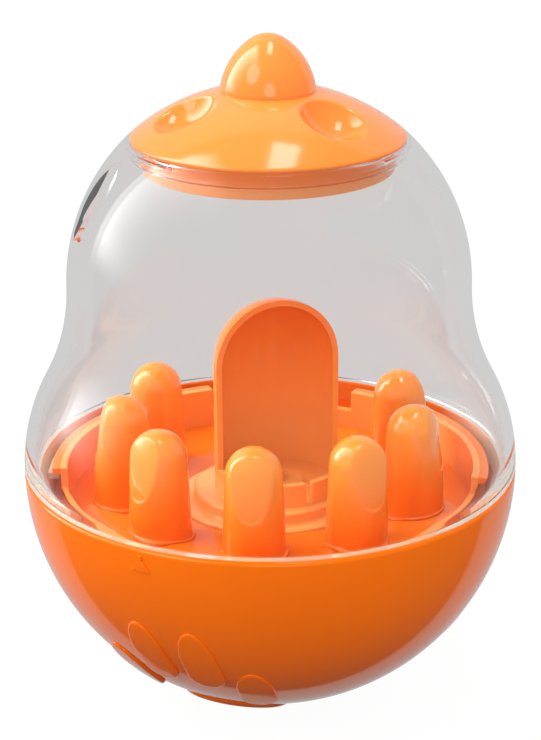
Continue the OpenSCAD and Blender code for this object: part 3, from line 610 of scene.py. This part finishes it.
def domeShape(d, o):
    # the whole wall as one closed section turned round; a window is left out of it on the head and filled by
    # rings that run from the window's border to the almond edge of the outlet, on the outer and the inner face
    rim = bowl["outer"]
    outer = domeFace(d, 0, d["footZ"] + d["beadR"], d["topZ"] - 0.3)
    neckMeet = d["headZ"] + math.sqrt((d["headR"] - d["wall"]) ** 2 - d["neckOut"] ** 2)
    inner = domeFace(d, d["wall"], 5.0, neckMeet)
    bead = arc(rim - d["beadR"], d["footZ"] + d["beadR"], d["beadR"], -90, -4, 7)
    neck = softCorners([(*outer[-1], 0), (d["topR"], d["topZ"], 0.25), (d["neckIn"], d["topZ"], 0.25),
                        (d["neckIn"], d["neckLow"], 0.3), (d["neckOut"], d["neckLow"], 0.3),
                        (d["neckOut"], neckMeet, 0)], 5)[1:-1]
    spigot = softCorners([(*inner[0], 0), (inner[0][0], 2.5, 9), (d["spigotIn"] + 0.4, d["spigotLow"], 0.4),
                          (d["spigotOut"], d["spigotLow"], 0.4), (d["spigotOut"], d["footZ"], 0.1),
                          (rim - d["beadR"] - 0.1, d["footZ"], 0)], 7)[1:]
    section = np.vstack([bead, outer, neck, inner[::-1], spigot])
    pts, quads = spinRound(section, d["steps"], True)
    nHead = d["arcSteps"][2]
    outHead = len(bead) + len(outer) - nHead
    inHead = len(bead) + len(outer) + len(neck)
    c0, c1 = [int(round((w % 360) / 360 * d["steps"])) for w in o["window"]]
    r0, r1 = o["rows"]
    rowSets = [(outHead + r0, outHead + r1), (inHead + nHead - 1 - r1, inHead + nHead - 1 - r0)]
    row, col = np.divmod(np.arange(len(quads)), d["steps"])
    hole = (col >= c0) & (col < c1) & np.any([(row >= a) & (row < b) for a, b in rowSets], 0)
    quads = quads[~hole]
    grid = pts.reshape(-1, d["steps"], 3)
    parts, edge = [(pts, quads)], None
    middle = np.array([-o["front"], d["headZ"] + o["rise"]])
    (a, b), (e, f) = rowSets
    for low, high, rad in ((a, b, d["headR"]), (f, e, d["headR"] - d["wall"])):
        up = 1 if high > low else -1
        border = np.vstack([grid[low, c0:c1], grid[low:high:up, c1], grid[high, c1:c0:-1], grid[high:low:-up, c0]])
        flat = border[:, 1:] - middle
        if edge is None:
            way = flat / np.linalg.norm(flat, axis=1, keepdims=True)
            way[[np.argmax(way[:, 1]), np.argmin(way[:, 1])]] = [[0, 1], [0, -1]]
            edge = way * almond(way, o)[:, None]
        t = np.linspace(0, 1, o["rings"])[:, None, None]
        yz = edge + t * (flat - edge) + middle
        x = -np.sqrt(rad ** 2 - yz[..., 0] ** 2 - (yz[..., 1] - d["headZ"]) ** 2)
        patch = np.concatenate([x[..., None], yz], -1)
        patch[-1] = border
        parts.append((patch.reshape(-1, 3), ringQuads(o["rings"], len(border))))
    through = np.stack([parts[k][0].reshape(o["rings"], -1, 3)[0] for k in (1, 2)])
    parts.append((through.reshape(-1, 3), ringQuads(2, len(edge))))
    return joinParts(parts)


makePiece("clearDome", domeShape(dome, outlet), clearShell, "dome", ["dome"], sharp=32)
lugs = [arcBlock(lug["inner"], lug["outer"], lug["low"], lug["high"], t - lug["half"], t + lug["half"])
        for lug in (neckLug, footLug) for t in lug["turns"]]
makePiece("domeLugs", joinParts(lugs), clearShell, "dome", bevel=0.2)
print("dome made")


lid = dict(outer=28.2, edgeLow=70.38, edgeHigh=71.07, crownR=44.08, crownC=37.19, wall=2.2, skirtOut=25.65,
           skirtIn=23.45, skirtLow=64.18, slotLow=67.48, slotHigh=69.57, slotTurns=(127, 307), lock=30, slotHalf=7,
           steps=320, rows=(112, 60))
dimple = dict(radius=8.444, out=48.324, ringR=18.0, turns=(-68, 46), soft=0.4)
knob = dict(foot=80.122, r=9.9, h=11.59, tipR=6.4, drop=1.58, steps=160)


def crownReach(lean, turn, c, d):
    # distance of the crown from the middle of its sphere: the sphere itself, or the near side of a dimple's ball
    # where that is closer, with a soft lip between them
    ray = np.stack([np.sin(lean) * np.sin(turn), -np.sin(lean) * np.cos(turn), np.cos(lean)], -1)
    reach = np.full(lean.shape, c["crownR"])
    tilt = math.asin(d["ringR"] / c["crownR"])
    for t in np.radians(d["turns"]):
        axis = np.array([math.sin(tilt) * math.sin(t), -math.sin(tilt) * math.cos(t), math.cos(tilt)])
        along = ray @ axis * d["out"]
        miss = d["radius"] ** 2 - d["out"] ** 2 + along ** 2
        near = np.where(miss > 0, along - np.sqrt(np.clip(miss, 0, None)), c["crownR"] + 9)  # far off: no dimple
        reach = softMin(reach, near, d["soft"])
    return ray, reach


def crownShape(c, d):
    # outer crown with its dimples, rounded edge, flat underside out to the skirt, then the inner crown
    lowLean = math.asin((c["outer"] - 0.3) / c["crownR"])
    turn = np.linspace(0, 2 * np.pi, c["steps"], endpoint=False)
    lean, t = np.meshgrid(np.linspace(0, lowLean, c["rows"][0]), turn, indexing="ij")
    ray, reach = crownReach(lean, t, c, d)
    top = ray * reach[..., None] + [0, 0, c["crownC"]]
    edge = softCorners([(c["outer"] - 0.3, c["edgeHigh"] + 0.2, 0), (c["outer"], c["edgeHigh"] - 0.05, 0.3),
                        (c["outer"], c["edgeLow"], 0.25), (c["skirtIn"] + 0.2, c["edgeLow"], 0)], 5)[1:]
    rim = spinRound(edge, c["steps"], False)[0].reshape(len(edge), c["steps"], 3)
    innerLean = math.asin((c["skirtIn"] + 0.2) / (c["crownR"] - c["wall"]))
    lean, t = np.meshgrid(np.linspace(innerLean, 0, c["rows"][1]), turn, indexing="ij")
    ray, reach = crownReach(lean, t, c, d)
    low = ray * (reach - c["wall"])[..., None] + [0, 0, c["crownC"]]
    pts = np.concatenate([top, rim, low])
    return pts.reshape(-1, 3), ringQuads(len(pts), c["steps"])


def skirtShape(c):
    # ring under the lid with slots that let the neck's lugs in from below and then run sideways
    cuts = [(t - c["lock"] - c["slotHalf"], t - c["lock"] + c["slotHalf"], t + c["slotHalf"]) for t in c["slotTurns"]]
    edges = np.array(sorted({*np.arange(0, 360, 2.5), *[e % 360 for cut in cuts for e in cut]}))
    turns = np.radians(edges)
    heights = np.array([c["skirtLow"], c["slotLow"], c["slotHigh"], c["edgeLow"] + 0.3])
    middle = (edges + np.append(edges[1:], 360)) / 2
    rise = np.any([(middle - a) % 360 < b - a for a, b, _ in cuts], 0)
    run = np.any([(middle - a) % 360 < e - a for a, _, e in cuts], 0)
    keep = np.stack([~rise, ~run, np.ones_like(run)], -1)
    return ringWall(turns, heights, keep, c["skirtIn"], c["skirtOut"], True)


def knobShape(k):
    # flank arc that leans in from the foot and touches the round tip
    tipZ = k["h"] - k["tipR"]
    flankR = ((tipZ + k["drop"]) ** 2 + k["r"] ** 2 - k["tipR"] ** 2) / (2 * (k["r"] - k["tipR"]))
    start = math.degrees(math.asin(k["drop"] / flankR))
    meet = math.degrees(math.atan2(tipZ + k["drop"], flankR - k["r"]))
    flank = arc(k["r"] - flankR, -k["drop"], flankR, start, meet, 26)
    tip = arc(0, tipZ, k["tipR"], meet, 90, 22)
    body = np.vstack([[[0, -0.05]], [[k["r"] - 0.25, -0.05]], flank[1:-1], tip])
    return spinRound(body + [0, k["foot"]], k["steps"], False)


makePiece("lidCrown", crownShape(lid, dimple), lidOrange, "lid", ["lid"], sharp=50)
makePiece("lidSkirt", skirtShape(lid), skirtOrange, "lid", bevel=0.25)
makePiece("eggKnob", knobShape(knob), lidOrange, "lid", ["knob"], sharp=50)
print("lid made")


def studioFloor(shade):
    # wide pale floor with a painted shadow: a dark disc close to the ball, seen only by light that bounces off the
    # floor;
    # the camera sees it nearly white, with the soft shadow kept; gloss and glass show the backdrop there
    half, low = shade["half"], shade["low"]
    me = bpy.data.meshes.new("studioFloor")
    me.from_pydata([(-half, -half, low), (half, -half, low), (half, half, low), (-half, half, low)], [], [(0, 1, 2, 3)])
    obj = bpy.data.objects.new("studioFloor", me)
    bpy.context.scene.collection.objects.link(obj)
    mat, tree, bsdf = newMaterial("floorWhite")
    where = addNode(tree, "TexCoord")["Object"]
    away = addNode(tree, "VectorMath", {0: where}, operation="LENGTH")["Value"]
    # painted shadow: the floor's colour is dark (near) inside the reach round the ball and pale (far) outside it
    ring = addNode(tree, "MapRange", {"From Min": shade["reach"] - shade["soft"],
                                      "From Max": shade["reach"] + shade["soft"],
                                      "To Min": shade["near"], "To Max": shade["far"], "Value": away},
                   interpolation_type="SMOOTHSTEP")["Result"]
    ray = addNode(tree, "LightPath")
    tone = addNode(tree, "Mix", {"A": ring, "B": shade["seen"], "Factor": ray["Is Camera Ray"]})["Result"]
    feed(tree, bsdf, {"Base Color": tone, "Roughness": shade["rough"], "Specular IOR Level": 0.0})
    share = addNode(tree, "Math", {0: ray["Is Camera Ray"], 1: shade["white"]}, operation="MULTIPLY")[0]
    white = addNode(tree, "Emission", {"Strength": shade["glow"]})["Emission"]
    pale = addNode(tree, "MixShader", {"Fac": share, 1: bsdf.outputs["BSDF"], 2: white})["Shader"]
    past = addNode(tree, "Math", {0: ray["Is Glossy Ray"], 1: ray["Is Transmission Ray"]}, operation="MAXIMUM")[0]
    clear = addNode(tree, "BsdfTransparent")["BSDF"]
    show = addNode(tree, "MixShader", {"Fac": past, 1: pale, 2: clear})["Shader"]
    tree.links.new(show, tree.nodes["Material Output"].inputs["Surface"])
    me.materials.append(mat)


def studioWorld(w):
    # grey studio, dark in front for gloss, with one tall soft panel on the left: sharp at its far edge, fading
    # towards the front; glass shows an even grey and the camera sees white
    world = bpy.data.worlds.new("studio")
    bpy.context.scene.world = world
    world.use_nodes = True
    tree = world.node_tree
    sky = tree.nodes["Background"]
    where = addNode(tree, "TexCoord")["Generated"]
    way = addNode(tree, "SeparateXYZ", {"Vector": where})
    edge = math.radians(w["panelEdge"])
    across = addNode(tree, "VectorMath", {0: where, 1: (math.cos(edge), math.sin(edge), 0)},
                     operation="DOT_PRODUCT")["Value"]

    def ramp(source, lo, hi, toLo, toHi):
        ends = {"Value": source, "From Min": lo, "From Max": hi, "To Min": toLo, "To Max": toHi}
        return addNode(tree, "MapRange", ends, interpolation_type="SMOOTHSTEP")["Result"]

    def sums(a, b, operation="MULTIPLY"):
        return addNode(tree, "Math", {0: a, 1: b}, operation=operation)[0]

    panel = sums(ramp(across, *w["panelStart"], 0, 1), ramp(across, *w["panelFade"], 1, 0))
    panel = sums(panel, ramp(way["X"], *w["panelSide"], 1, 0))
    panel = sums(panel, ramp(way["Z"], *w["panelRise"], 0, w["panel"]))
    ray = addNode(tree, "LightPath")
    seen = ramp(way["Y"], w["wallEdge"] - w["wallSoft"], w["wallEdge"] + w["wallSoft"], w["front"], w["back"])
    glass = addNode(tree, "Mix", {"A": seen, "B": w["back"], "Factor": ray["Is Transmission Ray"]})["Result"]
    level = addNode(tree, "Mix", {"A": glass, "B": w["fill"], "Factor": ray["Diffuse Depth"]})["Result"]
    feed(tree, sky, {"Color": (1, 1, 1, 1), "Strength": sums(panel, level, "ADD")})
    white = addNode(tree, "Background", {"Color": (1, 1, 1, 1)})["Background"]
    seen = addNode(tree, "MixShader", {"Fac": ray["Is Camera Ray"], 1: sky.outputs["Background"], 2: white})["Shader"]
    tree.links.new(seen, tree.nodes["World Output"].inputs["Surface"])


def softbox(name, at, aim, size, glow, lit=None):
    # area light of the given brightness, whatever its size: power = brightness x pi x area
    data = bpy.data.lights.new(name, "AREA")
    data.shape = "RECTANGLE" if size[1] else "DISK"
    area = size[0] * size[1] if size[1] else math.pi * size[0] ** 2 / 4
    data.size = size[0]
    if size[1]:
        data.size_y = size[1]
    data.energy = glow * math.pi * area
    obj = bpy.data.objects.new(name, data)
    bpy.context.scene.collection.objects.link(obj)
    obj.location = at
    obj.rotation_euler = (Vector(aim) - Vector(at)).to_track_quat("-Z", "Y").to_euler()
    if lit:
        obj.light_linking.receiver_collection = lit


opaque = bpy.data.collections.new("opaquePieces")
for obj in list(bpy.data.objects):
    if obj.type == "MESH" and obj.name not in ("clearDome", "domeLugs"):
        opaque.objects.link(obj)
# near and far are the painted shadow's dark colour inside reach and the floor's colour outside it
studioFloor(dict(half=4, low=-0.0002, reach=0.085, soft=0.006, near=0.1, far=0.5, seen=0.9, rough=0.9, white=0.94,
                 glow=1.03))
studioWorld(dict(back=0.63, front=0.15, wallEdge=0.4, wallSoft=0.03, fill=0.9, panel=6.5, panelEdge=-122,
                 panelStart=(0, 0.04), panelFade=(0.05, 0.75), panelSide=(-0.5, -0.3), panelRise=(-0.1, 0.15)))
softbox("overheadBox", (0.078, -0.01, 0.85), (0, 0, 0.1), (0.34, 0.15), 5.6)
softbox("keyDisk", (-0.62, -0.58, 0.78), (0, 0, 0.08), (0.6, 0), 2.8, opaque)
softbox("frontDisk", (0.08, -1.05, 0.4), (0, 0, 0.08), (0.5, 0), 2.2, opaque)

shot = dict(distance=0.430, aim=(0, 0, 0.07154), elevation=20.45, focalPx=2030.0, frame=(541, 740), roll=0.34,
            leftPx=0.84, sensor=36.0)


def photoCamera(s):
    # the photograph's viewing angle; the focal length in pixels of the frame becomes mm on the sensor
    data = bpy.data.cameras.new("photoCamera")
    data.sensor_fit = "VERTICAL"
    data.sensor_height = s["sensor"]
    data.lens = s["focalPx"] / s["frame"][1] * s["sensor"]
    data.shift_x = s["leftPx"] / s["frame"][1]
    data.clip_start = 0.01
    obj = bpy.data.objects.new("photoCamera", data)
    bpy.context.scene.collection.objects.link(obj)
    e = math.radians(s["elevation"])
    at = Vector(s["aim"]) + s["distance"] * Vector((0, -math.cos(e), math.sin(e)))
    look = (Vector(s["aim"]) - at).to_track_quat("-Z", "Y").to_matrix().to_4x4()
    obj.matrix_world = Matrix.Translation(at) @ look @ Matrix.Rotation(math.radians(-s["roll"]), 4, "Z")
    bpy.context.scene.camera = obj


photoCamera(shot)
bpy.context.scene.view_settings.view_transform = "Standard"
print("stage set")
